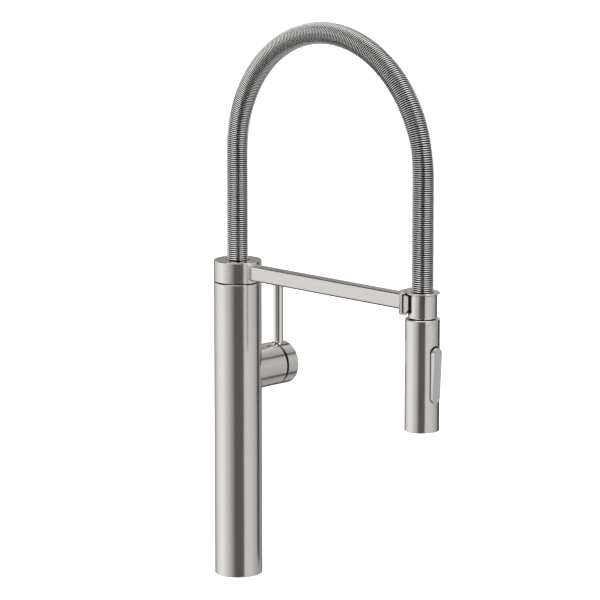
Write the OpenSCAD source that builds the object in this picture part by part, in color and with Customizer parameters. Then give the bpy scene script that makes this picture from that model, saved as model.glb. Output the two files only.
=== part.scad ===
// Pull down kitchen faucet: a column with a side lever, a swivelling arm with a magnetic dock,
// and a spray head on a hose that a coil spring carries over in an arch.
// The origin is at the centre of the column's foot. +Z is up, the arm points to -Y, the lever to +X.

/* [Column] */
// Outer diameter of the column
col_d = 50; // [48:0.5:52]
// Height of the swivel ring's top above the deck
ring_top = 336.5; // [330:0.5:380]
// Height of the swivel ring
ring_h = 21.95; // [21.95:0.05:24]

/* [Lever] */
// Height of the lever barrel's axis
barrel_z = 218; // [150:1:235]
// Outer diameter of the barrel and its cap
barrel_d = 45.6; // [45:0.2:46.4]
// Distance from the column's axis to the cap's outer face
barrel_reach = 67.4; // [67:0.2:72]
// Diameter of the lever rod
rod_d = 10.6; // [8:0.2:11]
// Height of the lever rod's tip
rod_top = 315; // [260:1:316]

/* [Arm and dock] */
// Distance from the column's axis to the spray head's axis
reach = 264; // [240:1:290]
// Width of the arm
arm_w = 14; // [12:0.5:14]
// Height of the arm
arm_h = 15.8; // [14:0.2:16]
// Height of the dock bracket
dock_h = 23.6; // [22:0.2:24]

/* [Hose] */
// Height at which the hose's two straight legs turn into the arch
leg_top = 452.5; // [380:0.5:480]
// Outer diameter of the coil spring
spring_d = 22.4; // [22:0.1:22.6]
// Diameter of the spring's wire
wire_d = 1; // [1:0.1:1.2]
// Outer diameter of the inner hose
hose_d = 19.6; // [19.4:0.1:19.8]

/* [Spray head] */
// Outer diameter of the spray head
head_d = 34.8; // [34.4:0.2:35.4]
// Height of the spray head's lower rim above the deck
head_low = 197.4; // [197:0.1:198]
// Outer diameter of the collar's flange
flange_d = 34.4; // [33.6:0.2:35]
// Width of the rocker
rocker_w = 11.2; // [10:0.2:12]
// Length of the rocker
rocker_len = 56.4; // [50:0.2:60]
// Angle of the rocker at rest, its top standing out
rocker_tilt = 2.9; // [1:0.1:3]

/* [Hidden] */
$fn = 96;

play = 0.05;        // running clearance on a radius
past = 1;           // how far a cut runs past the face it opens
edge = 0.4;         // broken edge on turned metal

// Column
col_r = col_d / 2;
col_ri = col_r - 2;
bush_flange = 1.1;                              // the dark joint under the swivel ring
bush_inset = 1.4;                               // how far it lies behind the column's face
ring_low = ring_top - ring_h;
col_top = ring_low - play - bush_flange;

// Base
plug_h = 22;
seal_w = 3.2;
seal_h = 1.2;
stud_x = 14;
stud_hole_r = 3.4;                              // M8 thread
inlet_y = 10.5;
inlet_thread_r = 4.46;                          // M10 x 1 thread
inlet_thread_h = 12;
tube_r = 4;
tube_ri = 3;
tube_low = inlet_thread_h + 2;

// Mixer
neck_r = 18.5;
cup_r = 19.6;
cup_x = col_r + 0.1;
cup_end = 47;
neck_back = -12;
cart_r = 17.5;
cart_x = 27;
cart_len = 17;
tube_high = barrel_z - 6;
port_r = 2.6;
port_y = 8.5;
port_drop = 4;
outlet_rise = 8;
riser_r = 5;
riser_low = barrel_z + outlet_rise;

// Barrel and lever
barrel_r = barrel_d / 2;
sleeve_ri = cup_r + 0.1;
cap_len = 14.7;
cap_x = barrel_reach - cap_len;
groove_w = 2.3;
groove_depth = 2.2;
sleeve_end = cap_x - groove_w;
disc_r = 13.2;
disc_t = 3;
disc_x = cart_x + disc_t;
spindle_r = 4;
spindle_plate_t = 3.5;
nut_ri = 9;
slide_ri = 18;
cap_recess = 1.1;                               // how far the cap's back is turned out
cap_rim = 2.2;                                  // width of the rim left round it
spindle_end = cap_x + 10.5;
rod_r = rod_d / 2;
rod_x = cap_x + 6.8;
rod_seat = 12;                                  // the rod's inner end, from the barrel's axis
grub_r = 2.5;

// Swivel
stem_low = ring_low - 18.55;
stem_flange_h = 12;
spigot_r = 14;
spigot_top = ring_top - 5;
bush_r = 15.5;
clip_h = 1.2;
shoulder_z = ring_low + 7.95;
washer_z = shoulder_z + play;
clip_z = washer_z + 1.05;
chamber_r = 18;
seat_r = 12.2;
seat_z = ring_top - 4.6;
nipple_r = 6;
nipple_bore = 3;
nipple_flange_r = 9;
nipple_fit = 0.15;                              // room between the flange and the seat
socket_r = nipple_r + play;
socket_low = spigot_top - 13.5;

// O-rings on both nipples
o_wire_r = 0.85;
o_major_r = 5.17;
o_groove_r = 4.3;
o_groove_h = 1.8;

// Arm
arm_z = ring_top - 10.9;
arm_root = col_r - 3.5;
arm_round = 2.2;                                // radius of the arm's long edges

// Screws of the arm and the dock
arm_screw_r = 2;                                // M4
dock_screw_r = 2.5;                             // M5
dock_screw_head_r = 4.2;
key_r = 1.44;                                   // 2.5 mm hexagon key

// Dock, its radii from the head's axis
dock_ro = 23.5;
dock_ri = 21.3;
dock_lip = 2;
dock_round = 1.6;
dock_spread = 60;
bracket_ri = 15.9;
flange_gap = 0.7;                               // room round the collar's flange
dock_z = ring_top - 9.7;
dock_low = dock_z - dock_h / 2;
dock_high = dock_z + dock_h / 2;
pad_ro = 20.9;
pad_ri = 15.2;
pad_round = 3.4;                                // radius of its corners towards the collar
pad_spread = 70;
pad_root_spread = 45;
pad_gap = 1;
pad_low = dock_low + dock_lip + pad_gap;
pad_high = dock_high - dock_lip - pad_gap;
liner_ri = 14.8;
liner_spread = 78;
magnet_spread = 16;
magnet_half = 4;                                // half the magnet's height
magnet_fit = 0.1;

// Hose
arch_r = reach / 2;
spring_r = spring_d / 2;
hose_r = hose_d / 2;
hose_ri = 5;
barb_r = hose_ri - play;
hose_end_r = 8.2;                               // the hose is stripped to this under its ferrules
ferrule_ro = hose_end_r + 1.4;
ferrule_h = 17.7;
spring_low = seat_z + 2.5;
hose_low = seat_z + 2.4;

// Collar, on the head's axis
head_r = head_d / 2;
head_len = 114;
head_top = head_low + head_len;
collar_low = head_top + 0.6;
collar_top = ring_top + 1.7;
flange_r = flange_d / 2;
waist_r = 14.5;
waist_top = collar_top - 2.8;
collar_bore = spring_r + 0.6;
collar_ledge = collar_top - 11;
collar_floor = collar_low + 7;
thread_r = 7;
nipple_flange_h = 3;
upper_hose_z = collar_floor + nipple_flange_h;
head_spigot_low = head_top - 15.2;
head_clip_z = head_spigot_low + 1.4;

// Head
shell_t = 1.2;
shell_ri = head_r - shell_t;
shell_cap = 2;
shell_mouth_r = 13.2;
inlet_low = head_top - 25.4;
shoulder_head = head_clip_z + clip_h + 0.2;
chamber_head = 8;
water_r = shell_ri - 0.2;
water_low = head_low + 7.6;
water_bore = 4;
plate_low = head_low + 0.8;
plate_h = 5.3;
aerator_r = 8.6;
nozzle_r = 0.75;
nozzle_rings = [[16, 11], [20, 13.8]];          // count and radius of each ring

// Rocker, its depths from the head's axis
rocker_z = (head_low + head_top) / 2 + 1.4;
pin_depth = 13;
pin_r = 1.25;
pin_half = 7.5;
rocker_back = 14.4;
rocker_front = 20.6;
rocker_play = 0.7;
pocket_len = rocker_len + 1.9;
pocket_z = rocker_z + 0.4;
recess_floor = 10.6;
spool_r = 2.5;
spool_drop = 12.5;
spool_out = 13.6;
spool_in = -6;

// Shapes that repeat

// A solid of revolution about Z, from its outline as [radius, height] points.
module turned(outline) rotate_extrude() polygon(outline);

// A straight ring about Z.
module ring(r_out, r_in, low, high) translate([0, 0, low]) difference() {
    cylinder(h = high - low, r = r_out);
    translate([0, 0, -past]) cylinder(h = high - low + 2 * past, r = r_in);
}

// A plain rod about Z.
module bar(r, low, high) translate([0, 0, low]) cylinder(h = high - low, r = r);

// A ring's sector about Z, to both sides of +Y.
module sector(r_out, r_in, low, high, spread) rotate_extrude(angle = 2 * spread, start = 90 - spread)
    polygon([[r_in, low], [r_out, low], [r_out, high], [r_in, high]]);

// A snap ring: open at the front.
module snap_ring(r_out, r_in, low) rotate_extrude(angle = 300, start = -60)
    polygon([[r_in, low], [r_out, low], [r_out, low + clip_h], [r_in, low + clip_h]]);

// An O-ring at one height.
module o_ring(z) translate([0, 0, z]) rotate_extrude() translate([o_major_r, 0])
    circle(r = o_wire_r, $fn = 32);

// A rectangle with round corners, in the XY plane.
module round_rect(w, h, r) {
    square([w - 2 * r, h], center = true);
    square([w, h - 2 * r], center = true);
    for (x = [-1, 1], y = [-1, 1]) translate([x * (w / 2 - r), y * (h / 2 - r)]) circle(r = r, $fn = 32);
}

// A slot outline with round ends, long along Y.
module slot(w, len) {
    square([w, len - w], center = true);
    for (s = [-1, 1]) translate([0, s * (len - w) / 2]) circle(r = w / 2);
}

// Children drawn about Z are turned to lie along the barrel's axis, +X.
module barrel_axis() translate([0, 0, barrel_z]) rotate([0, 90, 0]) children();

// Children drawn about Z are turned to point to -Y, away from the column.
module outward() rotate([90, 0, 0]) children();

// Children drawn about Z are turned to point to +Y, from the head back to the column.
module inward() rotate([-90, 0, 0]) children();

// Children drawn on the column's axis move to the head's axis.
module on_head() translate([0, -reach, 0]) children();

// Both O-ring grooves of a nipple, cut at two heights.
module o_grooves(heights) for (z = heights)
    ring(nipple_r + past, o_groove_r, z - o_groove_h / 2, z + o_groove_h / 2);

// The hose's whole route as a solid tube: up from the ring, over, and down to the collar.
module hose_route(r_out, r_in, low_left, low_right) {
    ring(r_out, r_in, low_left, leg_top);
    on_head() ring(r_out, r_in, low_right, leg_top);
    translate([0, -arch_r, leg_top]) rotate([90, 0, 90]) rotate_extrude(angle = 180)
        translate([arch_r, 0]) difference() {
            circle(r = r_out);
            circle(r = r_in);
        }
}

// Column and base

module column_tube() color("silver") difference() {
    turned([
        [col_ri, 0], [col_r - edge, 0], [col_r, edge],
        [col_r, col_top - edge], [col_r - edge, col_top], [col_ri, col_top]
    ]);
    barrel_axis() cylinder(h = col_r + past, r = neck_r + play);
}

module base_plug() color("goldenrod") difference() {
    cylinder(h = plug_h, r = col_ri);
    ring(col_ri + past, col_ri - seal_w, -past, seal_h);
    for (s = [-1, 1]) translate([s * stud_x, 0, 0]) bar(stud_hole_r, -past, plug_h + past);
    for (s = [-1, 1]) translate([0, s * inlet_y, 0]) {
        bar(inlet_thread_r, -past, inlet_thread_h);
        bar(tube_ri, 0, plug_h + past);
        bar(tube_r, tube_low, plug_h + past);
    }
}

module deck_seal() color("dimgray") ring(col_ri, col_ri - seal_w, 0, seal_h);

module inlet_tube(side) color("peru") translate([0, side * inlet_y, 0])
    ring(tube_r, tube_ri, tube_low, tube_high);

// Mixer

module mixer_body() color("goldenrod") difference() {
    barrel_axis() {
        bar(neck_r, neck_back, cup_x);
        bar(cup_r, cup_x, cup_end);
    }
    barrel_axis() bar(cart_r, cart_x, cup_end + past);
    for (s = [-1, 1]) {
        translate([0, s * inlet_y, 0]) bar(tube_r, barrel_z - barrel_r, tube_high);
        translate([0, s * inlet_y, -port_drop]) barrel_axis() bar(port_r, 0, port_y);
        translate([0, s * port_y, -port_drop]) barrel_axis() bar(port_r, 0, cart_x + past);
    }
    bar(riser_r, riser_low, barrel_z + barrel_r);
    translate([0, 0, outlet_rise]) barrel_axis() bar(port_r, 0, cart_x + past);
    bar(port_r, barrel_z + outlet_rise, riser_low + past);
}

module barrel_sleeve() color("silver") difference() {
    barrel_axis() turned([
        [sleeve_ri, 0], [barrel_r, 0], [barrel_r, sleeve_end - edge],
        [barrel_r - edge, sleeve_end], [sleeve_ri, sleeve_end]
    ]);
    bar(col_r, barrel_z - barrel_d, barrel_z + barrel_d);
}

// The three water ports of the cartridge's base and fixed disc.
module ports(from, to) {
    for (s = [-1, 1]) translate([0, s * port_y, -port_drop]) barrel_axis() bar(port_r, from, to);
    translate([0, 0, outlet_rise]) barrel_axis() bar(port_r, from, to);
}

module cartridge_housing() color("white") difference() {
    barrel_axis() bar(cart_r, cart_x, cart_x + cart_len);
    barrel_axis() bar(disc_r, disc_x, cart_x + cart_len - disc_t);
    barrel_axis() bar(spindle_r + play, disc_x, cart_x + cart_len + past);
    ports(cart_x - past, disc_x + past);
}

module fixed_disc() color("gainsboro") difference() {
    barrel_axis() bar(disc_r, disc_x, disc_x + disc_t);
    ports(disc_x - past, disc_x + disc_t + past);
}

module cartridge_nut() color("goldenrod") difference() {
    barrel_axis() ring(cart_r, nut_ri, cart_x + cart_len, cup_end + 0.5);
    for (a = [0, 90]) barrel_axis() rotate(a)
        translate([-cart_r - past, -1.5, cup_end - 1.5]) cube([2 * (cart_r + past), 3, 3]);
}

module slide_ring() color("black") barrel_axis() turned([
    [slide_ri, sleeve_end - 3], [sleeve_ri, sleeve_end - 3], [sleeve_ri, sleeve_end],
    [barrel_r - groove_depth, sleeve_end], [barrel_r - groove_depth, cap_x - 2 * play],
    [slide_ri, cap_x - 2 * play]
]);

module riser_tube() color("peru") ring(riser_r, riser_r - 1, riser_low, stem_low + 8);

// Lever, drawn with the rod upright

module moving_disc() color("gainsboro") difference() {
    barrel_axis() bar(disc_r - 0.6, disc_x + disc_t + play, disc_x + 2 * disc_t);
    translate([0, 0, outlet_rise - 3]) barrel_axis() bar(port_r, disc_x, disc_x + disc_t + 2);
}

module cartridge_spindle() color("goldenrod") barrel_axis() {
    bar(disc_r - 0.6, disc_x + 2 * disc_t, disc_x + 2 * disc_t + spindle_plate_t);
    bar(spindle_r, disc_x + 2 * disc_t, spindle_end);
}

module lever_cap() color("silver") difference() {
    barrel_axis() turned([
        [0, cap_x + cap_recess], [barrel_r - cap_rim, cap_x + cap_recess], [barrel_r - cap_rim, cap_x],
        [barrel_r - edge, cap_x],
        [barrel_r, cap_x + edge], [barrel_r, barrel_reach - edge], [barrel_r - edge, barrel_reach],
        [0, barrel_reach]
    ]);
    barrel_axis() bar(spindle_r, cap_x, spindle_end);
    translate([rod_x, 0, barrel_z]) bar(rod_r, rod_seat, barrel_d);
    translate([rod_x, 0, barrel_z]) bar(grub_r, -barrel_d, -spindle_r + 0.5);
}

module lever_rod() color("gainsboro") translate([rod_x, 0, 0]) turned([
    [0, barrel_z + rod_seat], [rod_r, barrel_z + rod_seat], [rod_r, rod_top - 0.8],
    [rod_r - 0.8, rod_top], [0, rod_top]
]);

module lever_grub_screw() color("dimgray") translate([rod_x, 0, barrel_z]) difference() {
    bar(grub_r, -14, -spindle_r);
    translate([0, 0, -14 - past]) cylinder(h = 3 + past, r = key_r, $fn = 6);
}

// Swivel joint

module swivel_stem() color("goldenrod") difference() {
    turned([
        [0, stem_low], [col_ri, stem_low], [col_ri, stem_low + stem_flange_h],
        [spigot_r, stem_low + stem_flange_h], [spigot_r, spigot_top], [0, spigot_top]
    ]);
    ring(spigot_r + past, spigot_r - 1, clip_z, clip_z + clip_h);
    bar(riser_r, stem_low - past, stem_low + 8);
    bar(4, stem_low, spigot_top);
    bar(socket_r, socket_low, spigot_top + past);
}

module swivel_bush() color("black") turned([
    [spigot_r, stem_low + stem_flange_h], [col_ri, stem_low + stem_flange_h], [col_ri, col_top],
    [col_r - bush_inset, col_top], [col_r - bush_inset, ring_low - play], [bush_r, ring_low - play],
    [bush_r, shoulder_z - 0.1], [spigot_r, shoulder_z - 0.1]
]);

module thrust_washer() color("ivory") ring(chamber_r - 0.4, spigot_r, washer_z, clip_z);

module retaining_clip() color("dimgray") snap_ring(spigot_r + 2.6, spigot_r - 1, clip_z);

module swivel_ring() color("silver") difference() {
    turned([
        [bush_r + play, ring_low], [col_r - edge, ring_low], [col_r, ring_low + edge],
        [col_r, ring_top - edge], [col_r - edge, ring_top], [seat_r, ring_top], [seat_r, seat_z],
        [chamber_r, seat_z], [chamber_r, shoulder_z], [bush_r + play, shoulder_z]
    ]);
    arm_length(arm_root, col_r + past);
    translate([0, 0, arm_z]) outward() bar(arm_screw_r, bush_r, col_r);
    translate([0, 0, arm_z]) outward() screw_head(chamber_r - past, 3.6);
}

// The conical seat or head of a countersunk screw: its wide end first.
module screw_head(depth, r) translate([0, 0, depth])
    cylinder(h = past + 1.6, r1 = r + past, r2 = r - 1.6);

// The arm's bar between two distances from the column's axis.
module arm_length(from, to) translate([0, 0, arm_z]) outward() translate([0, 0, from])
    linear_extrude(height = to - from) round_rect(arm_w, arm_h, arm_round);

module arm() color("silver") difference() {
    arm_length(arm_root, reach - dock_ri);
    on_head() bar(dock_ro, dock_low, dock_high);
    translate([0, 0, arm_z]) outward() {
        bar(arm_screw_r, arm_root - past, col_r + 14);
        bar(dock_screw_r, reach - dock_ro - 15, reach);
    }
}

module arm_screw() color("dimgray") translate([0, 0, arm_z]) outward() difference() {
    union() {
        bar(arm_screw_r, chamber_r + 0.6, col_r + 13);
        translate([0, 0, chamber_r + 0.2]) cylinder(h = 1.4, r1 = 3.4, r2 = arm_screw_r);
    }
    translate([0, 0, chamber_r - past]) cylinder(h = 3, r = 1.2, $fn = 6);
}

// Dock

module dock_bracket() color("silver") on_head() difference() {
    rotate_extrude(angle = 2 * dock_spread, start = 90 - dock_spread) polygon([
        [bracket_ri, dock_low],
        for (a = [-90:15:0]) [dock_ro - dock_round * (1 - cos(a)), dock_low + dock_round * (1 + sin(a))],
        for (a = [0:15:90]) [dock_ro - dock_round * (1 - cos(a)), dock_high - dock_round * (1 - sin(a))],
        [flange_r + flange_gap, dock_high],
        [flange_r + flange_gap, dock_high - dock_lip], [dock_ri, dock_high - dock_lip],
        [dock_ri, dock_low + dock_lip], [bracket_ri, dock_low + dock_lip]
    ]);
    translate([0, 0, arm_z]) inward() bar(dock_screw_r, pad_ri, dock_ro + past);
    translate([0, 0, arm_z]) inward() bar(dock_screw_head_r + 0.1, pad_ri, dock_ri + 1);
}

module dock_screw() color("dimgray") on_head() translate([0, 0, arm_z]) inward() difference() {
    union() {
        bar(dock_screw_r, dock_ri + 1, dock_ro + 13);
        bar(dock_screw_head_r, dock_ri, dock_ri + 1);
    }
    translate([0, 0, dock_ri - past]) cylinder(h = 3, r = key_r, $fn = 6);
}

// Clearance under the collar's conical flange, cut from what the collar docks against.
module flange_relief() turned([
    [0, waist_top - 0.5], [waist_r + 0.2, waist_top - 0.5], [flange_r + flange_gap, collar_top - 1.7],
    [flange_r + flange_gap, collar_top + 2], [0, collar_top + 2]
]);

// The pad's face to the collar, as [radius, height] points.
function pad_face() = [
    for (a = [0:15:90]) [pad_ri + pad_round * (1 - sin(a)), pad_low + pad_round * (1 - cos(a))],
    for (a = [90:-15:0]) [pad_ri + pad_round * (1 - sin(a)), pad_high - pad_round * (1 - cos(a))]
];

// A section swept round the head's axis, to both sides of the column's direction.
module dock_sweep(outline, spread) on_head() rotate_extrude(angle = 2 * spread, start = 90 - spread)
    polygon(outline);

module dock_pad() color("darkgray") difference() {
    union() {
        on_head() sector(
            dock_ri, pad_ri + pad_round, dock_low + dock_lip, dock_high - dock_lip, pad_root_spread
        );
        dock_sweep([[pad_ro, pad_low], each pad_face(), [pad_ro, pad_high]], pad_spread);
    }
    on_head() sector(
        pad_ro - 1, pad_ri - past, arm_z - magnet_half - magnet_fit, arm_z + magnet_half + magnet_fit,
        magnet_spread + 0.5
    );
}

module dock_magnet() color("dimgray") on_head()
    sector(pad_ro - 1 - magnet_fit, pad_ri + play, arm_z - magnet_half, arm_z + magnet_half, magnet_spread);

module dock_liner() color("black") difference() {
    dock_sweep([[liner_ri, pad_low], each pad_face(), [liner_ri, pad_high]], liner_spread);
    on_head() flange_relief();
}

// Hose

module hose_seat() color("black") turned([
    [nipple_flange_r + nipple_fit, seat_z], [seat_r, seat_z], [seat_r, ring_top - 0.1],
    [spring_r + nipple_fit, ring_top - 0.1], [spring_r + nipple_fit, hose_low],
    [nipple_flange_r + nipple_fit, hose_low]
]);

module hose_nipple() color("goldenrod") difference() {
    union() {
        bar(nipple_r, socket_low + 0.5, spigot_top + 0.2);
        bar(nipple_flange_r, spigot_top + 0.2, hose_low - 0.1);
        bar(barb_r, spigot_top, hose_low + ferrule_h - 2);
    }
    bar(nipple_bore, socket_low, hose_low + ferrule_h);
    o_grooves([socket_low + 4, socket_low + 9]);
}

module nipple_o_rings() color("black") for (z = [4, 9]) o_ring(socket_low + z);

module lower_ferrule() color("silver") ring(ferrule_ro, hose_end_r + play, hose_low, hose_low + ferrule_h);

module hose_spring() color("gainsboro")
    hose_route(spring_r, spring_r - wire_d, spring_low, collar_ledge + 0.1);

module inner_hose() color("dimgray") difference() {
    hose_route(hose_r, hose_ri, hose_low, upper_hose_z + 0.1);
    ring(hose_r + past, hose_end_r, hose_low - past, hose_low + ferrule_h + 0.1);
    on_head() ring(hose_r + past, hose_end_r, upper_hose_z - past, upper_hose_z + ferrule_h + 0.1);
}

// Collar on the hose's end

module collar() color("silver") on_head() turned([
    [thread_r, collar_low], [waist_r - 1, collar_low],
    for (a = [-75:15:0]) [waist_r - 1 + cos(a), collar_low + 1 + sin(a)],
    [waist_r, waist_top], [flange_r, collar_top - 1.3], [flange_r, collar_top - 0.3],
    [flange_r - 0.3, collar_top], [collar_bore + 0.3, collar_top], [collar_bore, collar_top - 0.3],
    [collar_bore, collar_ledge], [ferrule_ro + 0.2, collar_ledge], [ferrule_ro + 0.2, collar_floor],
    [thread_r, collar_floor]
]);

module head_nipple() color("goldenrod") on_head() difference() {
    union() {
        bar(nipple_r, head_spigot_low, collar_low);
        bar(thread_r, collar_low, collar_floor);
        bar(ferrule_ro, collar_floor, upper_hose_z);
        bar(barb_r, upper_hose_z, upper_hose_z + ferrule_h - 2);
    }
    bar(nipple_bore, head_spigot_low - past, upper_hose_z + ferrule_h);
    o_grooves([head_top - 3.4, head_top - 7.4]);
    ring(nipple_r + past, nipple_r - 1, head_clip_z, head_clip_z + clip_h);
}

module head_o_rings() color("black") on_head() for (z = [3.4, 7.4]) o_ring(head_top - z);

module head_clip() color("dimgray") on_head() snap_ring(nipple_r + 1.4, nipple_r - 1, head_clip_z);

module head_washer() color("black") on_head() ring(12.8, nipple_r + 0.2, head_top + 0.1, collar_low);

module upper_ferrule() color("silver") on_head()
    ring(ferrule_ro, hose_end_r + play, upper_hose_z, upper_hose_z + ferrule_h);

// Spray head

module head_shell() color("silver") on_head() difference() {
    turned([
        [shell_ri, head_low], [head_r - edge, head_low], [head_r, head_low + edge],
        [head_r, head_top - 0.6], [head_r - 0.6, head_top], [shell_mouth_r, head_top],
        [shell_mouth_r, head_top - shell_cap], [shell_ri, head_top - shell_cap]
    ]);
    translate([0, 0, pocket_z]) outward() translate([0, 0, recess_floor])
        linear_extrude(height = head_r) slot(rocker_w + 2 * rocker_play, pocket_len);
}

module head_inlet() color("dimgray") on_head() difference() {
    turned([
        [0, inlet_low], [shell_ri, inlet_low], [shell_ri, head_top - shell_cap],
        [shell_mouth_r, head_top - shell_cap], [shell_mouth_r, head_top], [0, head_top]
    ]);
    bar(chamber_head, inlet_low - past, shoulder_head);
    bar(socket_r, shoulder_head, head_top + past);
}

module check_valve() color("white") on_head()
    ring(chamber_head, nipple_bore, inlet_low, head_spigot_low - 0.4);

module waterway() color("dimgray") on_head() difference() {
    bar(water_r, water_low, inlet_low);
    bar(water_bore, water_low - past, inlet_low + past);
    translate([-rocker_w / 2 - 0.6, -head_r, pocket_z - pocket_len / 2 - 0.4])
        cube([rocker_w + 1.2, head_r - recess_floor, pocket_len + 0.8]);
    translate([-pin_half, -pin_depth, rocker_z]) rotate([0, 90, 0]) cylinder(h = 2 * pin_half, r = pin_r);
    translate([0, 0, rocker_z - spool_drop]) outward() bar(spool_r + play, spool_in - 1.5, head_r);
}

module face_plate() color("dimgray") on_head() difference() {
    bar(shell_ri, plate_low, plate_low + plate_h);
    bar(aerator_r, head_low, water_low);
    nozzle_places() bar(nozzle_r, head_low, water_low);
}

// Children are drawn at each nozzle of both rings.
module nozzle_places() for (row = nozzle_rings, i = [0:row[0] - 1])
    rotate(i * 360 / row[0]) translate([row[1], 0, 0]) children();

module spray_nozzles() color("black") on_head() nozzle_places()
    bar(nozzle_r, head_low + 0.2, plate_low + plate_h);

module aerator() color("silver") on_head() {
    ring(aerator_r, aerator_r - 1.2, head_low + 0.6, water_low);
    intersection() {
        bar(aerator_r - 1, head_low + 2, head_low + 3);
        union() for (a = [0, 90], k = [-3:3]) rotate(a)
            translate([-aerator_r, k * 2 - 0.4, head_low + 2]) cube([2 * aerator_r, 0.8, 1]);
    }
}

module rocker_pin() color("silver") on_head() translate([-pin_half, -pin_depth, rocker_z])
    rotate([0, 90, 0]) cylinder(h = 2 * pin_half, r = pin_r);

// The rocker is drawn upright about its pin, then tilted to its rest position.
module rocker() color("darkgray") on_head() translate([0, -pin_depth, rocker_z])
    rotate([rocker_tilt, 0, 0]) difference() {
        union() {
            outward() translate([0, 0, rocker_back - pin_depth])
                linear_extrude(height = rocker_front - rocker_back) slot(rocker_w, rocker_len);
            translate([-rocker_w / 2, 0, 0]) rotate([0, 90, 0]) cylinder(h = rocker_w, r = 2.2);
            translate([-rocker_w / 2, -2.2, -2.2]) cube([rocker_w, 2.2, 4.4]);
        }
        translate([-rocker_w, 0, 0]) rotate([0, 90, 0]) cylinder(h = 2 * rocker_w, r = pin_r + play);
    }

module diverter_spool() color("goldenrod") on_head() translate([0, 0, rocker_z - spool_drop])
    outward() bar(spool_r, spool_in, spool_out);

column_tube();
base_plug();
deck_seal();
inlet_tube(1);  // hot_inlet_tube
inlet_tube(-1);  // cold_inlet_tube
mixer_body();
barrel_sleeve();
cartridge_housing();
fixed_disc();
cartridge_nut();
slide_ring();
riser_tube();
swivel_stem();
swivel_bush();
thrust_washer();
retaining_clip();
moving_disc();
cartridge_spindle();
lever_cap();
lever_rod();
lever_grub_screw();
swivel_ring();
arm();
arm_screw();
dock_bracket();
dock_pad();
dock_liner();
dock_magnet();
dock_screw();
hose_seat();
hose_nipple();
nipple_o_rings();
lower_ferrule();
hose_spring();
inner_hose();
collar();
head_nipple();
head_o_rings();
head_clip();
head_washer();
upper_ferrule();
head_shell();
head_inlet();
check_valve();
waterway();
face_plate();
spray_nozzles();
aerator();
rocker_pin();
rocker();
diverter_spool();
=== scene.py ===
"""The looks of a pull down kitchen faucet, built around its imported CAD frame. Lengths are in metres."""

import math

import bpy
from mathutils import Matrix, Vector


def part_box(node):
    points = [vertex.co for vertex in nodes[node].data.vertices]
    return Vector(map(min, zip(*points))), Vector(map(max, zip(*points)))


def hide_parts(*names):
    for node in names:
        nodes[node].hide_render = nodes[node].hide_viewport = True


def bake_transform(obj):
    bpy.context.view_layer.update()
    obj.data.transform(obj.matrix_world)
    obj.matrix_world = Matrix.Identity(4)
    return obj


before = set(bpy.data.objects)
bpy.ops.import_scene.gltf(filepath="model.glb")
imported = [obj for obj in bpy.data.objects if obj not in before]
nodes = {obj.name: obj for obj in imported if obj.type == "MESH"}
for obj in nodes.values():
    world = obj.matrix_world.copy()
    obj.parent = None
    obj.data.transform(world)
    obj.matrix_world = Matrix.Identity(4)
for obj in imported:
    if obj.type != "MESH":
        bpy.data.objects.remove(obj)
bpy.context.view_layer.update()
MM = 0.001

# Camera: a long lens, to one side of the object and a little above it, aimed near its middle
LENS = 216
SENSOR = 36
DISTANCE = 3.698
CLIP = (0.05, 60)
AZIMUTH = math.radians(-45)
ELEVATION = math.radians(11.03)
AIM = Vector((0, -0.0919, 0.3060))

# Axes and sizes of the object, from the frame
COLUMN = Vector((0, 0, 0))
SPRING_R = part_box("hose_spring")[1].x
REACH = -(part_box("hose_spring")[0].y + SPRING_R)
HEAD = Vector((0, -REACH, 0))
CAP_LOW, CAP_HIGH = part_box("lever_cap")
BARREL = Vector((0, 0, (CAP_LOW.z + CAP_HIGH.z) / 2))
ROD = sum(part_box("lever_rod"), Vector()) / 2
ARCH_R = REACH / 2
ARCH_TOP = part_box("hose_spring")[1].z - SPRING_R
LEG_TOP = ARCH_TOP - ARCH_R

# Colours
STEEL = (0.80, 0.77, 0.735, 1)
BRIGHT_STEEL = (0.92, 0.91, 0.89, 1)
BRASS = (0.78, 0.60, 0.30, 1)
COPPER = (0.80, 0.43, 0.27, 1)
WHITE = (1, 1, 1, 1)
BLACK = (0, 0, 0, 1)

# Grain of the materials: noise and waves to the metre, and how much the brushing tints, varies and dents
FINE_BRUSHING = 5200.0
TURNED_BANDS = 450.0
DRAWN_BANDS = 500.0
BRUSH_TINT = 0.02
BRUSH_SPREAD = 0.03
BRUSH_DEPTH = 0.004 * MM
BRAID_ALONG = 1400.0
BRAID_ACROSS = 1800.0

SMALLEST_R = 1e-5


# Materials


class Graph:
    """A node tree under construction, with a short way to add nodes to it."""

    def add(self, kind, *inputs, output=0, **settings):
        node = self.tree.nodes.new("ShaderNode" + kind)
        for key, value in settings.items():
            setattr(node, key, value)
        for place, value in enumerate(inputs):
            if isinstance(value, bpy.types.NodeSocket):
                self.tree.links.new(value, node.inputs[place])
            elif value is not None:
                node.inputs[place].default_value = value
        return None if output is None else node.outputs[output]

    def mixed(self, factor, first, second):
        """A colour between two, each a colour or a socket."""
        mix = self.add("Mix", data_type="RGBA", output="Result").node
        for socket, value in (("Factor", factor), ("A", first), ("B", second)):
            place = next(i for i in mix.inputs if i.name == socket and i.enabled)
            if isinstance(value, bpy.types.NodeSocket):
                self.tree.links.new(value, place)
            else:
                place.default_value = value
        return next(o for o in mix.outputs if o.enabled)

    def maths(self, operation, *inputs):
        return self.add("Math", *inputs, operation=operation)

    def split(self, vector):
        """A vector's three parts."""
        return self.add("SeparateXYZ", vector).node.outputs


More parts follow.
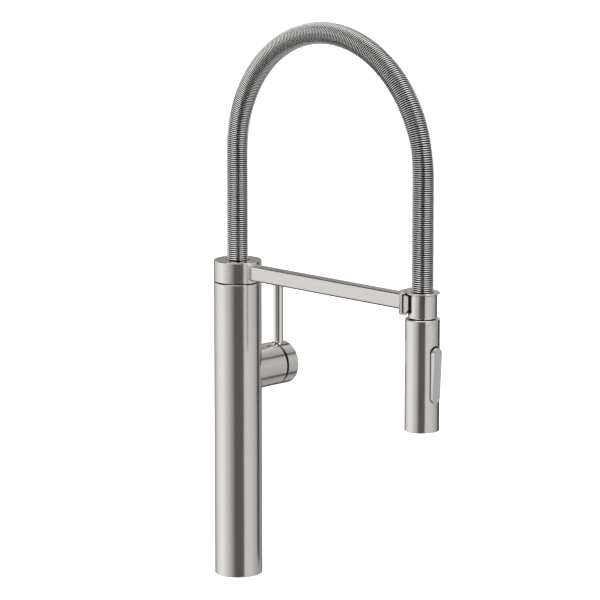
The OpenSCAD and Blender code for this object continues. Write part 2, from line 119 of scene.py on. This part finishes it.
class World(Graph):
    """The surround's node tree."""

    def __init__(self):
        world = bpy.data.worlds.new("surround")
        bpy.context.scene.world = world
        world.use_nodes = True
        self.tree = world.node_tree
        self.tree.nodes.clear()

    def between(self, value, low, high):
        """One between two bounds and nought outside them, with a soft edge."""
        rise = self.add("MapRange", value, low - PATCH_EDGE, low + PATCH_EDGE)
        fall = self.add("MapRange", value, high + PATCH_EDGE, high - PATCH_EDGE)
        return self.maths("MULTIPLY", rise, fall)


class Look(Graph):
    """A material under construction, around its shader."""

    def __init__(self, name, colour, roughness, metallic=1.0, specular=0.5):
        self.material = bpy.data.materials.new(name)
        self.material.use_nodes = True
        self.tree = self.material.node_tree
        self.shader = self.tree.nodes["Principled BSDF"]
        self.set("Base Color", colour)
        self.set("Roughness", roughness)
        self.set("Metallic", metallic)
        self.set("Specular IOR Level", specular)

    def set(self, socket, value):
        self.shader.inputs[socket].default_value = value

    def link(self, output, socket):
        self.tree.links.new(output, self.shader.inputs[socket])

    def position(self):
        """A point's place in the frame, which moves with the piece."""
        node = self.tree.nodes.new("ShaderNodeTexCoord")
        return node.outputs["Object"]

    def noise(self, vector, scale, detail=2.0, dimensions="3D", w=None):
        node = self.tree.nodes.new("ShaderNodeTexNoise")
        node.noise_dimensions = dimensions
        node.inputs["Scale"].default_value = scale
        node.inputs["Detail"].default_value = detail
        if vector is not None:
            self.tree.links.new(vector, node.inputs["Vector"])
        if w is not None:
            self.tree.links.new(w, node.inputs["W"])
        return node.outputs["Fac"]

    def span(self, value, low, high):
        """Maps a noise value to a range."""
        node = self.tree.nodes.new("ShaderNodeMapRange")
        self.tree.links.new(value, node.inputs["Value"])
        node.inputs["From Min"].default_value = 0.25
        node.inputs["From Max"].default_value = 0.75
        node.inputs["To Min"].default_value = low
        node.inputs["To Max"].default_value = high
        return node.outputs["Result"]

    def tinted(self, value, colour, change):
        """Makes the colour a little darker or lighter as the value goes."""
        low = [c * (1 - change) for c in colour[:3]] + [1]
        high = [min(1, c * (1 + change)) for c in colour[:3]] + [1]
        self.link(self.mixed(self.span(value, 0, 1), low, high), "Base Color")

    def bump(self, height, distance, strength=0.3):
        node = self.tree.nodes.new("ShaderNodeBump")
        node.inputs["Strength"].default_value = strength
        node.inputs["Distance"].default_value = distance
        self.tree.links.new(height, node.inputs["Height"])
        self.tree.links.new(node.outputs["Normal"], self.shader.inputs["Normal"])

    def tangent(self, x, y, z):
        """Lays the shader's tangent along a direction given in the piece's own frame."""
        along = self.add("CombineXYZ", x, y, z)
        turned = self.add(
            "VectorTransform",
            along,
            vector_type="VECTOR",
            convert_from="OBJECT",
            convert_to="WORLD",
        )
        self.link(turned, "Tangent")

    def brushed(self, colour, roughness, bands, fine, wear):
        """Finishes a brushed metal from three noises: its bands of tint, its fine relief and its wear."""
        self.tinted(bands, colour, BRUSH_TINT)
        self.link(self.span(wear, roughness - BRUSH_SPREAD, roughness + BRUSH_SPREAD), "Roughness")
        self.bump(fine, BRUSH_DEPTH, strength=0.25)
        return self.material


def turned_metal(name, colour, roughness, centre, axis="Z", anisotropy=0.75):
    """Metal brushed on a lathe: fine rings about an axis, with the shader's tangent laid round it."""
    look = Look(name, colour, roughness)
    look.set("Anisotropic", anisotropy)
    place = look.add("VectorMath", look.position(), tuple(centre), operation="SUBTRACT")
    x, y, z = look.split(place)
    across, beyond, height = (x, y, z) if axis == "Z" else (y, z, x)
    squares = look.maths("ADD", look.maths("POWER", across, 2.0), look.maths("POWER", beyond, 2.0))
    radius = look.maths("MAXIMUM", look.maths("SQRT", squares), SMALLEST_R)
    cosine = look.maths("DIVIDE", across, radius)
    sine = look.maths("DIVIDE", beyond, radius)
    back = look.maths("MULTIPLY", sine, -1.0)
    look.tangent(*((back, cosine, 0.0) if axis == "Z" else (0.0, back, cosine)))

    def rings(scale, drift):
        around = look.add(
            "CombineXYZ",
            look.maths("MULTIPLY", cosine, drift),
            look.maths("MULTIPLY", sine, drift),
            look.maths("MULTIPLY", height, scale),
        )
        return look.noise(around, 1.0, dimensions="4D", w=look.maths("MULTIPLY", radius, scale))

    bands, fine = rings(TURNED_BANDS, drift=1.2), rings(FINE_BRUSHING, drift=2.5)
    cloud = look.noise(look.position(), scale=38.0, detail=3.0)
    wear = look.maths("ADD", look.maths("MULTIPLY", fine, 0.6), look.maths("MULTIPLY", cloud, 0.4))
    return look.brushed(colour, roughness, bands, fine, wear)


def drawn_metal(name, colour, roughness, along, anisotropy=0.75):
    """Metal brushed lengthwise: fine straight lines along one of the frame's axes."""
    look = Look(name, colour, roughness)
    look.set("Anisotropic", anisotropy)
    look.tangent(*[1.0 if a == along else 0.0 for a in "XYZ"])

    def lines(scale, lengthwise=6.0):
        stretch = tuple(lengthwise if a == along else scale for a in "XYZ")
        return look.noise(look.add("VectorMath", look.position(), stretch, operation="MULTIPLY"), 1.0)

    bands, fine = lines(DRAWN_BANDS), lines(FINE_BRUSHING)
    return look.brushed(colour, roughness, bands, fine, wear=fine)


def plain_metal(name, colour, roughness, grain=900.0, change=0.05):
    """Metal with a fine even grain, for the spring, screws, castings and hidden pieces."""
    look = Look(name, colour, roughness)
    grains = look.noise(look.position(), scale=grain, detail=3.0)
    cloud = look.noise(look.position(), scale=grain / 12, detail=3.0)
    look.tinted(cloud, colour, change)
    look.link(look.span(grains, roughness - 0.05, roughness + 0.08), "Roughness")
    look.bump(grains, distance=0.02 * MM, strength=0.2)
    return look.material


def moulded(name, colour, roughness, grain=1400.0, specular=0.5):
    """Moulded plastic, rubber or ceramic with a fine grain."""
    look = Look(name, colour, roughness, metallic=0.0, specular=specular)
    grains = look.noise(look.position(), scale=grain)
    cloud = look.noise(look.position(), scale=60.0)
    look.tinted(cloud, colour, change=0.12)
    look.link(look.span(grains, roughness - 0.06, roughness + 0.06), "Roughness")
    look.bump(grains, distance=0.03 * MM)
    return look.material


def braided_rubber():
    """The inner hose: black, with a crossed braid just under its skin."""
    look = Look("hose_rubber", (0.006, 0.006, 0.006, 1), 0.6, metallic=0.0, specular=0.15)
    x, y, z = look.split(look.position())
    length = look.maths("MULTIPLY", look.maths("ADD", y, z), BRAID_ALONG)
    width = look.maths("MULTIPLY", x, BRAID_ACROSS)
    one = look.maths("SINE", look.maths("ADD", length, width))
    other = look.maths("SINE", look.maths("SUBTRACT", length, width))
    braid = look.maths("MAXIMUM", one, other)
    look.link(look.span(look.noise(look.position(), scale=700.0), 0.45, 0.65), "Roughness")
    look.bump(braid, distance=0.08 * MM, strength=0.5)
    return look.material


SATIN = 0.14
column_steel = turned_metal("column_steel", STEEL, SATIN, COLUMN)
head_steel = turned_metal("head_steel", STEEL, SATIN, HEAD)
barrel_steel = turned_metal("barrel_steel", STEEL, SATIN, BARREL, "X")
arm_steel = drawn_metal("arm_steel", (0.69, 0.665, 0.635, 1), 0.11, "Y", anisotropy=0.3)
rocker_steel = drawn_metal("rocker_steel", (0.80, 0.79, 0.77, 1), 0.3, "Z")
rod_steel = turned_metal("rod_steel", BRIGHT_STEEL, 0.06, ROD, anisotropy=0.3)
spring_steel = plain_metal("spring_steel", BRIGHT_STEEL, 0.1, change=0.03)
brass = plain_metal("brass", BRASS, 0.25)
copper = plain_metal("copper", COPPER, 0.28, change=0.12)
screw_steel = plain_metal("screw_steel", (0.55, 0.55, 0.55, 1), 0.3)
black_steel = plain_metal("black_steel", (0.02, 0.02, 0.02, 1), 0.45)
magnet_nickel = plain_metal("magnet_nickel", (0.6, 0.59, 0.56, 1), 0.22)
ceramic = moulded("ceramic", (0.86, 0.84, 0.79, 1), 0.12, 2400.0)
white_plastic = moulded("white_plastic", (0.8, 0.8, 0.78, 1), 0.4)
black_plastic = moulded("black_plastic", (0.005, 0.005, 0.005, 1), 0.45, specular=0.2)
grey_plastic = moulded("grey_plastic", (0.045, 0.045, 0.047, 1), 0.42)
black_rubber = moulded("black_rubber", (0.012, 0.012, 0.012, 1), 0.6, 900.0, 0.35)
hose_rubber = braided_rubber()

NODE_LOOKS = {
    column_steel: ["column_tube", "swivel_ring"],
    barrel_steel: ["barrel_sleeve", "lever_cap"],
    head_steel: ["collar", "head_shell", "dock_bracket", "dock_pad", "aerator"],
    arm_steel: ["arm"],
    rocker_steel: ["rocker"],
    rod_steel: ["lever_rod"],
    spring_steel: ["hose_spring"],
    black_steel: ["lower_ferrule", "upper_ferrule"],
    brass: ["base_plug", "mixer_body", "cartridge_nut", "swivel_stem", "hose_nipple", "head_nipple",
            "cartridge_spindle", "diverter_spool"],
    copper: ["hot_inlet_tube", "cold_inlet_tube", "riser_tube"],
    screw_steel: ["retaining_clip", "lever_grub_screw", "arm_screw", "dock_screw", "head_clip",
                  "rocker_pin"],
    magnet_nickel: ["dock_magnet"],
    ceramic: ["fixed_disc", "moving_disc"],
    white_plastic: ["cartridge_housing", "thrust_washer", "check_valve"],
    black_plastic: ["slide_ring", "swivel_bush", "hose_seat", "dock_liner", "head_washer"],
    grey_plastic: ["head_inlet", "waterway", "face_plate"],
    black_rubber: ["deck_seal", "nipple_o_rings", "head_o_rings", "spray_nozzles"],
    hose_rubber: ["inner_hose"],
}


def dress(piece, material):
    piece.data.materials.clear()
    piece.data.materials.append(material)


for material, names in NODE_LOOKS.items():
    for name in names:
        dress(nodes[name], material)


# Pieces

WELD_GAP = 0.005 * MM
SHARP_EDGE = math.radians(40)


def soften(name, width, segments=3):
    """Rounds a CAD node's sharp edges with modifiers."""
    weld = nodes[name].modifiers.new("weld", "WELD")
    weld.merge_threshold = WELD_GAP
    bevel = nodes[name].modifiers.new("soft_edges", "BEVEL")
    bevel.width = width
    bevel.segments = segments
    bevel.limit_method = "ANGLE"
    bevel.angle_limit = SHARP_EDGE


soften("rocker", 0.7 * MM)
soften("dock_bracket", 0.25 * MM, 2)


def new_piece(name, points, faces, material, smooth=True):
    mesh = bpy.data.meshes.new(name)
    mesh.from_pydata(points, [], faces)
    mesh.update()
    mesh.polygons.foreach_set("use_smooth", [smooth] * len(mesh.polygons))
    piece = bpy.data.objects.new(name, mesh)
    bpy.context.scene.collection.objects.link(piece)
    dress(piece, material)
    return piece


def route_point(s, start):
    """The hose's centre line at length s from its end in the swivel, at height start, and the way to the
    inner side of the arch."""
    leg = LEG_TOP - start
    arch = math.pi * ARCH_R
    if s < leg:
        return Vector((0, 0, start + s)), Vector((0, -1, 0))
    if s < leg + arch:
        a = (s - leg) / ARCH_R
        inward = Vector((0, -math.cos(a), -math.sin(a)))
        return Vector((0, -ARCH_R, LEG_TOP)) - inward * ARCH_R, inward
    down = s - leg - arch
    return Vector((0, -REACH, LEG_TOP - down)), Vector((0, 1, 0))


def leg_ends(node):
    """The heights where a hose node starts at the column and ends at the head."""
    points = [v.co for v in nodes[node].data.vertices]
    left = min(p.z for p in points if p.y > -ARCH_R)
    right = min(p.z for p in points if p.y < -ARCH_R)
    return left, right


def route_length(left, right):
    return (LEG_TOP - left) + math.pi * ARCH_R + (LEG_TOP - right)


def swept(name, rings, sides, material):
    """A closed tube through rings of points, with flat ends."""
    points = [p for ring in rings for p in ring]
    faces = []
    for i in range(len(rings) - 1):
        for j in range(sides):
            k = (j + 1) % sides
            faces.append((i * sides + j, i * sides + k, (i + 1) * sides + k, (i + 1) * sides + j))
    last = (len(rings) - 1) * sides
    faces.append(tuple(reversed(range(sides))))
    faces.append(tuple(range(last, last + sides)))
    return new_piece(name, points, faces, material)


WIRE_R = 0.5 * MM
WIRE_SIDES = 8
PITCH = 2.13 * MM
TURN_STEPS = 24
STRIPPED_R = 8.2 * MM
FERRULE_CLEARANCE = 0.1 * MM
HOSE_STEPS = 220
HOSE_SIDES = 28


def circle(sides):
    """The angles of the corners of an even polygon."""
    return [2 * math.pi * j / sides for j in range(sides)]


def coil_spring():
    """Round wire wound about the hose's route, with gaps about as wide as the wire."""
    left, right = leg_ends("hose_spring")
    length = route_length(left, right) - 2 * WIRE_R
    steps = round(length / PITCH) * TURN_STEPS
    coil_r = SPRING_R - WIRE_R
    centres = []
    outward = []
    for i in range(steps + 1):
        centre, inward = route_point(WIRE_R + length * i / steps, left)
        a = 2 * math.pi * i / TURN_STEPS
        radial = Vector((math.cos(a), 0, 0)) + inward * math.sin(a)
        centres.append(centre + radial * coil_r)
        outward.append(radial)
    rings = []
    for i, centre in enumerate(centres):
        ahead = centres[min(i + 1, len(centres) - 1)] - centres[max(i - 1, 0)]
        side = ahead.normalized().cross(outward[i])
        rings.append([
            centre + (outward[i] * math.cos(b) + side * math.sin(b)) * WIRE_R
            for b in circle(WIRE_SIDES)
        ])
    return swept("spring_coil", rings, WIRE_SIDES, spring_steel)


def inner_hose():
    """The black hose inside the spring, stripped thinner under its two ferrules."""
    left, right = leg_ends("inner_hose")
    length = route_length(left, right)
    ferrule_low, ferrule_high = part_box("lower_ferrule")
    stripped = ferrule_high.z - ferrule_low.z + FERRULE_CLEARANCE
    full_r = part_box("inner_hose")[1].x
    stations = [(0, STRIPPED_R), (stripped, STRIPPED_R)]
    for i in range(HOSE_STEPS + 1):
        stations.append((stripped + (length - 2 * stripped) * i / HOSE_STEPS, full_r))
    stations += [(length - stripped, STRIPPED_R), (length, STRIPPED_R)]
    rings = []
    for s, hose_r in stations:
        centre, inward = route_point(s, left)
        rings.append([
            centre + (Vector((math.cos(b), 0, 0)) + inward * math.sin(b)) * hose_r
            for b in circle(HOSE_SIDES)
        ])
    return swept("hose_core", rings, HOSE_SIDES, hose_rubber)


coil = coil_spring()
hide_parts("hose_spring")
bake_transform(coil)

hose = inner_hose()
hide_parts("inner_hose")
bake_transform(hose)


# Studio: a pale floor, a soft light, and a surround and three dark panels for the metal to reflect

TOWARDS = Vector((math.sin(AZIMUTH), -math.cos(AZIMUTH), 0))
RIGHTWARDS = Vector((math.cos(AZIMUTH), math.sin(AZIMUTH), 0))

# Brightness of the surround: for each belt, its lowest edge as the sine of its elevation, and the light by
# angle from the camera's side, positive to its right
BELTS = [
    (-1.0, [
        (-180, 0.03), (-106, 0.03), (-98, 0.80), (-60, 0.60), (-40, 0.45), (60, 0.45), (95, 0.40),
        (103, 0.32), (130, 0.42), (160, 0.45), (176, 0.50), (180, 0.03),
    ]),
    (-0.62, [
        (-180, 0.04), (-165, 0.12), (-140, 0.50), (-122, 0.74), (-97, 0.95), (-77, 0.95), (-60, 0.73),
        (-44, 0.55), (-28, 0.34), (-15, 0.12), (14, 0.12), (16, 0.70), (61, 0.68), (78, 0.58),
        (92, 0.50), (104, 0.42), (113, 0.40), (140, 0.34), (162, 0.14), (180, 0.04),
    ]),
    (0.0, [
        (-180, 0.30), (-150, 0.34), (-122, 0.90), (-97, 1.2), (-28, 1.2), (28, 1.2), (61, 1.1), (78, 0.70),
        (92, 0.54), (105, 0.50), (148, 0.50), (156, 0.75), (174, 0.75), (180, 0.30),
    ]),
    (0.55, [
        (-180, 0.40), (-150, 0.10), (-90, 0.12), (-60, 1.5), (0, 1.6), (70, 1.5), (88, 0.75), (94, 0.38),
        (103, 0.42), (125, 0.52), (149, 0.70), (151, 0.03), (162, 0.03), (164, 0.72), (180, 0.72),
    ]),
    (0.86, [(-180, 1.3), (180, 1.3)]),
]
BELT_EDGE = 0.02

# Dark patches in the surround, for lines on the barrel and the arm: two angles, then two sines of elevation
DARK_PATCHES = [(82, 181, 0.49, 0.57), (82, 181, -0.655, -0.585), (-181, -93, -1.1, -0.38)]
PATCH_EDGE = 0.02
PATCH_LIGHT = (0.03, 0.03, 0.03, 1)

# The panels' corners, as places on the deck and heights. The flag stands in front of the object and glows a
# little in its lower part, the shelf lies level just above the swivel ring's top, and the side flag stands
# behind on the right.
FLAG_INNER = RIGHTWARDS * 0.309 + TOWARDS * 0.567
FLAG_OUTER = RIGHTWARDS * -0.299 + TOWARDS * 1.158
FLAG_LOW, FLAG_HIGH = -1.5, 2
FLAG_GLOW = 0.11
FLAG_GLOW_TOP = 0.22
FLAG_FADE = 0.05
SHELF_CORNER = TOWARDS * 0.03
SHELF_HEIGHT = 0.34
SIDE_FAR = RIGHTWARDS * 0.84 - TOWARDS * 0.20
SIDE_CLOSE = RIGHTWARDS * 0.305 - TOWARDS * 0.180
SIDE_FAR_LOW, SIDE_CLOSE_LOW, SIDE_HIGH = -0.20, -0.08, 0.36
SIDE_GLOW = 0.05

FLOOR_R = 12.0
FLOOR_SIDES = 64
FLOOR_DROP = 0.2 * MM
FLOOR_COLOUR = (0.9, 0.9, 0.9, 1)
FLOOR_GLOW = 0.45

KEY_ENERGY = 1.2
KEY_SPREAD = math.radians(60)
KEY_TILT = (math.radians(25), math.radians(-20), 0)


def ring_light(world, angle, stops):
    """The light round one belt, as a colour ramp over the full turn."""
    ramp = world.add("ValToRGB", angle)
    elements = ramp.node.color_ramp.elements
    elements.remove(elements[-1])
    for i, (degrees, light) in enumerate(stops):
        place = degrees / 360 + 0.5
        stop = elements[0] if i == 0 else elements.new(place)
        stop.position = place
        stop.color = (light, light, light, 1)
    return ramp


def surround():
    world = World()
    direction = world.add("TexCoord", output="Generated")
    right, near = (
        world.add("VectorMath", direction, tuple(way), operation="DOT_PRODUCT", output="Value")
        for way in (RIGHTWARDS, TOWARDS)
    )
    angle = world.maths("ARCTAN2", right, near)
    turn = world.maths("MULTIPLY_ADD", angle, 1 / (2 * math.pi), 0.5)
    _, _, height = world.split(direction)
    light = None
    for edge, stops in BELTS:
        belt = ring_light(world, turn, stops)
        if light is None:
            light = belt
            continue
        above = world.add("MapRange", height, edge - BELT_EDGE, edge + BELT_EDGE)
        light = world.mixed(above, light, belt)
    for start, end, low, high in DARK_PATCHES:
        within = world.between(angle, math.radians(start), math.radians(end))
        level = world.between(height, low, high)
        light = world.mixed(world.maths("MULTIPLY", within, level), light, PATCH_LIGHT)
    seen = world.add("LightPath", output="Is Camera Ray")
    background = world.add("Background", world.mixed(seen, light, WHITE), 1.0)
    world.add("OutputWorld", background, output=None)


def studio_piece(name, points, faces, material):
    piece = new_piece(name, points, faces, material, smooth=False)
    return piece


def floor():
    """A round floor just under the column's foot, which the metal doesn't mirror."""
    look = Look("floor", FLOOR_COLOUR, 0.6, metallic=0.0)
    look.tinted(look.noise(look.position(), scale=3.0), FLOOR_COLOUR, change=0.01)
    look.set("Emission Color", WHITE)
    look.set("Emission Strength", FLOOR_GLOW)
    rim = [
        Vector((math.cos(a) * FLOOR_R, math.sin(a) * FLOOR_R, -FLOOR_DROP))
        for a in circle(FLOOR_SIDES)
    ]
    piece = studio_piece("floor", rim, [tuple(range(FLOOR_SIDES))], look.material)
    piece.visible_glossy = False


def panel(name, corners, material):
    """A flat panel that only the metal's reflections see, from its corners as places and heights."""
    points = [place + Vector((0, 0, height)) for place, height in corners]
    piece = studio_piece(name, points, [tuple(range(len(points)))], material)
    piece.visible_camera = False
    piece.visible_diffuse = False
    piece.visible_shadow = False


def dark_look(name):
    """A matte black for the panels."""
    return Look(name, BLACK, 1.0, metallic=0.0, specular=0.0)


def dark_panels():
    """Three panels seen only in the metal: the flag, the shelf and the side flag."""
    look = dark_look("flag")
    _, _, height = look.split(look.position())
    glow = look.add("MapRange", height, FLAG_GLOW_TOP, FLAG_GLOW_TOP + FLAG_FADE, FLAG_GLOW, 0.0)
    look.link(glow, "Emission Strength")
    look.set("Emission Color", WHITE)
    panel("flag", [
        (FLAG_INNER, FLAG_LOW), (FLAG_OUTER, FLAG_LOW), (FLAG_OUTER, FLAG_HIGH), (FLAG_INNER, FLAG_HIGH),
    ], look.material)
    shelf = [(place, SHELF_HEIGHT) for place in (SHELF_CORNER, FLAG_INNER, FLAG_OUTER)]
    panel("shelf", shelf, dark_look("dark_panel").material)
    dim = dark_look("dim_panel")
    dim.set("Emission Color", WHITE)
    dim.set("Emission Strength", SIDE_GLOW)
    panel("side_flag", [
        (SIDE_FAR, SIDE_FAR_LOW), (SIDE_CLOSE, SIDE_CLOSE_LOW),
        (SIDE_CLOSE, SIDE_HIGH), (SIDE_FAR, SIDE_HIGH),
    ], dim.material)


def key_light():
    """A broad soft light from above, which the metal doesn't mirror."""
    light = bpy.data.lights.new("key", "SUN")
    light.energy = KEY_ENERGY
    light.angle = KEY_SPREAD
    lamp = bpy.data.objects.new("key", light)
    bpy.context.scene.collection.objects.link(lamp)
    lamp.rotation_euler = KEY_TILT
    lamp.visible_glossy = False


def camera():
    data = bpy.data.cameras.new("camera")
    data.lens = LENS
    data.sensor_width = SENSOR
    data.clip_start, data.clip_end = CLIP
    data.dof.use_dof = False
    cam = bpy.data.objects.new("camera", data)
    bpy.context.scene.collection.objects.link(cam)
    back = TOWARDS * math.cos(ELEVATION) + Vector((0, 0, math.sin(ELEVATION)))
    cam.location = AIM + back * DISTANCE
    cam.rotation_mode = "QUATERNION"
    cam.rotation_quaternion = (-back).to_track_quat("-Z", "Y")
    bpy.context.scene.camera = cam


surround()
floor()
dark_panels()
key_light()
camera()
bpy.context.scene.view_settings.view_transform = "Standard"
